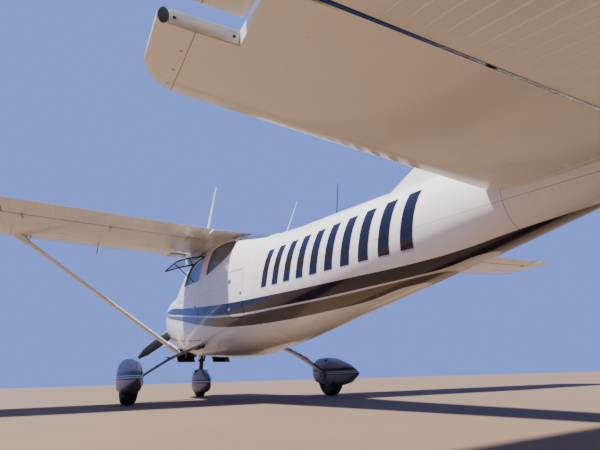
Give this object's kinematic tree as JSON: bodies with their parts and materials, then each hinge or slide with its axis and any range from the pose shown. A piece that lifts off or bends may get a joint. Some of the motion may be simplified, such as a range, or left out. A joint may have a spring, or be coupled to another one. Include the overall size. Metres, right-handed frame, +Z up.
{
  "type": "light aircraft",
  "caption": "High-wing, strut-braced light aircraft parked on fixed tricycle gear, with opening doors, moving controls, and wheels and propeller that turn",
  "frame": {"origin": "on the ground below the middle of the aircraft's length, at the middle of its span", "axes": "+X forward to the propeller, +Y to the left wing tip, +Z up"},
  "size_m": [8.5638, 11.02, 2.4828],
  "materials": {
    "white_paint": "glossy off-white enamel over thin aluminium skin",
    "grey_paint": "glossy blue-grey enamel",
    "clear_panes": "clear tinted panes",
    "bare_steel": "dull machined steel",
    "black_paint": "satin black paint",
    "tyre_rubber": "worn black rubber",
    "seat_cloth": "dark woven seat cloth",
    "cabin_lining": "worn floor lining",
    "panel_plastic": "black crackle"
  },
  "bodies": {
    "airframe": {"wing_left": "white_paint", "wing_right": "white_paint", "cabin_roof": "white_paint", "firewall": "bare_steel", "cabin_belly": "white_paint", "nose_deck": "white_paint", "cabin_side_left": "white_paint", "cabin_side_right": "white_paint", "rear_cabin": "white_paint", "windshield": "clear_panes", "rear_window": "clear_panes", "side_window_left": "clear_panes", "side_window_right": "clear_panes", "stabilizer_left": "white_paint", "stabilizer_right": "white_paint", "tail_cone": "white_paint", "fin": "white_paint", "cowling": "white_paint", "engine": "bare_steel", "strut_left": "white_paint", "strut_right": "white_paint", "main_leg_left": "grey_paint", "main_leg_right": "grey_paint", "main_fairing_left": "grey_paint", "main_fairing_right": "grey_paint", "nose_cylinder": "bare_steel", "cabin_floor": "cabin_lining", "front_seat_left": "seat_cloth", "front_seat_right": "seat_cloth", "rear_seat": "seat_cloth", "instrument_panel": "panel_plastic", "antenna_front": "white_paint", "antenna_rear": "white_paint", "antenna_mast": "black_paint", "pitot_tube": "bare_steel"},
    "propeller": {"propeller": "black_paint", "spinner": "white_paint"},
    "nose_leg": {"nose_fork": "bare_steel", "nose_fairing": "grey_paint"},
    "nose_wheel": {"nose_wheel": "tyre_rubber"},
    "main_wheel_left": {"main_wheel_left": "tyre_rubber"},
    "main_wheel_right": {"main_wheel_right": "tyre_rubber"},
    "aileron_left": {"aileron_left": "white_paint"},
    "aileron_right": {"aileron_right": "white_paint"},
    "flap_left": {"flap_left": "white_paint"},
    "flap_right": {"flap_right": "white_paint"},
    "elevator": {"elevator_left": "white_paint", "elevator_right": "white_paint"},
    "rudder": {"rudder": "white_paint"},
    "door_left": {"door_left": "white_paint", "door_glass_left": "clear_panes"},
    "door_right": {"door_right": "white_paint", "door_glass_right": "clear_panes"},
    "baggage_door": {"baggage_door": "white_paint"},
    "cowl_flap_left": {"cowl_flap_left": "white_paint"},
    "cowl_flap_right": {"cowl_flap_right": "white_paint"}
  },
  "joints": [
    {"name": "propeller_spin", "type": "hinge", "parent": "airframe", "child": "propeller", "pos_m": [4.00173, 0, 1.24683], "axis": [0.9986, 0, 0.0523], "continuous": true},
    {"name": "nose_steer", "type": "hinge", "parent": "airframe", "child": "nose_leg", "pos_m": [3.26465, 0, 0.54029], "axis": [-0.0523, 0, 0.9986], "range_deg": [-29, 29]},
    {"name": "nose_wheel_spin", "type": "hinge", "parent": "nose_leg", "child": "nose_wheel", "pos_m": [3.28363, 0, 0.178], "axis": [0, 1, 0], "continuous": true},
    {"name": "main_wheel_left_spin", "type": "hinge", "parent": "airframe", "child": "main_wheel_left", "pos_m": [1.53663, 1.225, 0.222], "axis": [0, 1, 0], "continuous": true},
    {"name": "main_wheel_right_spin", "type": "hinge", "parent": "airframe", "child": "main_wheel_right", "pos_m": [1.53663, -1.225, 0.222], "axis": [0, 1, 0], "continuous": true},
    {"name": "aileron_left_hinge", "type": "hinge", "parent": "airframe", "child": "aileron_left", "pos_m": [1.00234, 2.6, 1.83926], "axis": [0.1041, 0.9928, 0.0589], "range_deg": [-15, 20]},
    {"name": "aileron_right_hinge", "type": "hinge", "parent": "airframe", "child": "aileron_right", "pos_m": [1.00234, -2.6, 1.83926], "axis": [-0.1041, 0.9928, -0.0589], "range_deg": [-20, 20]},
    {"name": "flap_left_hinge", "type": "hinge", "parent": "airframe", "child": "flap_left", "pos_m": [1.04526, 0.64, 1.77544], "axis": [0.0018, -0.9994, -0.0349], "range_deg": [0, 40]},
    {"name": "flap_right_hinge", "type": "hinge", "parent": "airframe", "child": "flap_right", "pos_m": [1.04526, -0.64, 1.77544], "axis": [-0.0018, -0.9994, 0.0349], "range_deg": [0, 40]},
    {"name": "elevator_hinge", "type": "hinge", "parent": "airframe", "child": "elevator", "pos_m": [-3.16314, 0, 0.99951], "axis": [0, 1, 0], "range_deg": [-9, 42]},
    {"name": "rudder_hinge", "type": "hinge", "parent": "airframe", "child": "rudder", "pos_m": [-3.38887, 0, 0.88755], "axis": [-0.357, 0, 0.9341], "range_deg": [-17, 17]},
    {"name": "door_left_hinge", "type": "hinge", "parent": "airframe", "child": "door_left", "pos_m": [2.42475, 0.555, 0.74661], "axis": [0.0523, 0, -0.9986], "range_deg": [0, 65]},
    {"name": "door_right_hinge", "type": "hinge", "parent": "airframe", "child": "door_right", "pos_m": [2.42475, -0.555, 0.74661], "axis": [-0.0523, 0, 0.9986], "range_deg": [0, 65]},
    {"name": "baggage_door_hinge", "type": "hinge", "parent": "airframe", "child": "baggage_door", "pos_m": [0.59188, 0.5, 0.81078], "axis": [0.0523, 0, -0.9986], "range_deg": [0, 95]},
    {"name": "cowl_flap_left_hinge", "type": "hinge", "parent": "airframe", "child": "cowl_flap_left", "pos_m": [3.29995, 0.13, 0.67031], "axis": [0, 1, 0], "range_deg": [0, 17]},
    {"name": "cowl_flap_right_hinge", "type": "hinge", "parent": "airframe", "child": "cowl_flap_right", "pos_m": [3.29995, -0.13, 0.67031], "axis": [0, 1, 0], "range_deg": [0, 17]}
  ],
  "couplings": [
    {"joint": "aileron_right_hinge", "follows": "aileron_left_hinge", "ratio": -1},
    {"joint": "flap_right_hinge", "follows": "flap_left_hinge", "ratio": 1},
    {"joint": "cowl_flap_right_hinge", "follows": "cowl_flap_left_hinge", "ratio": 1}
  ]
}
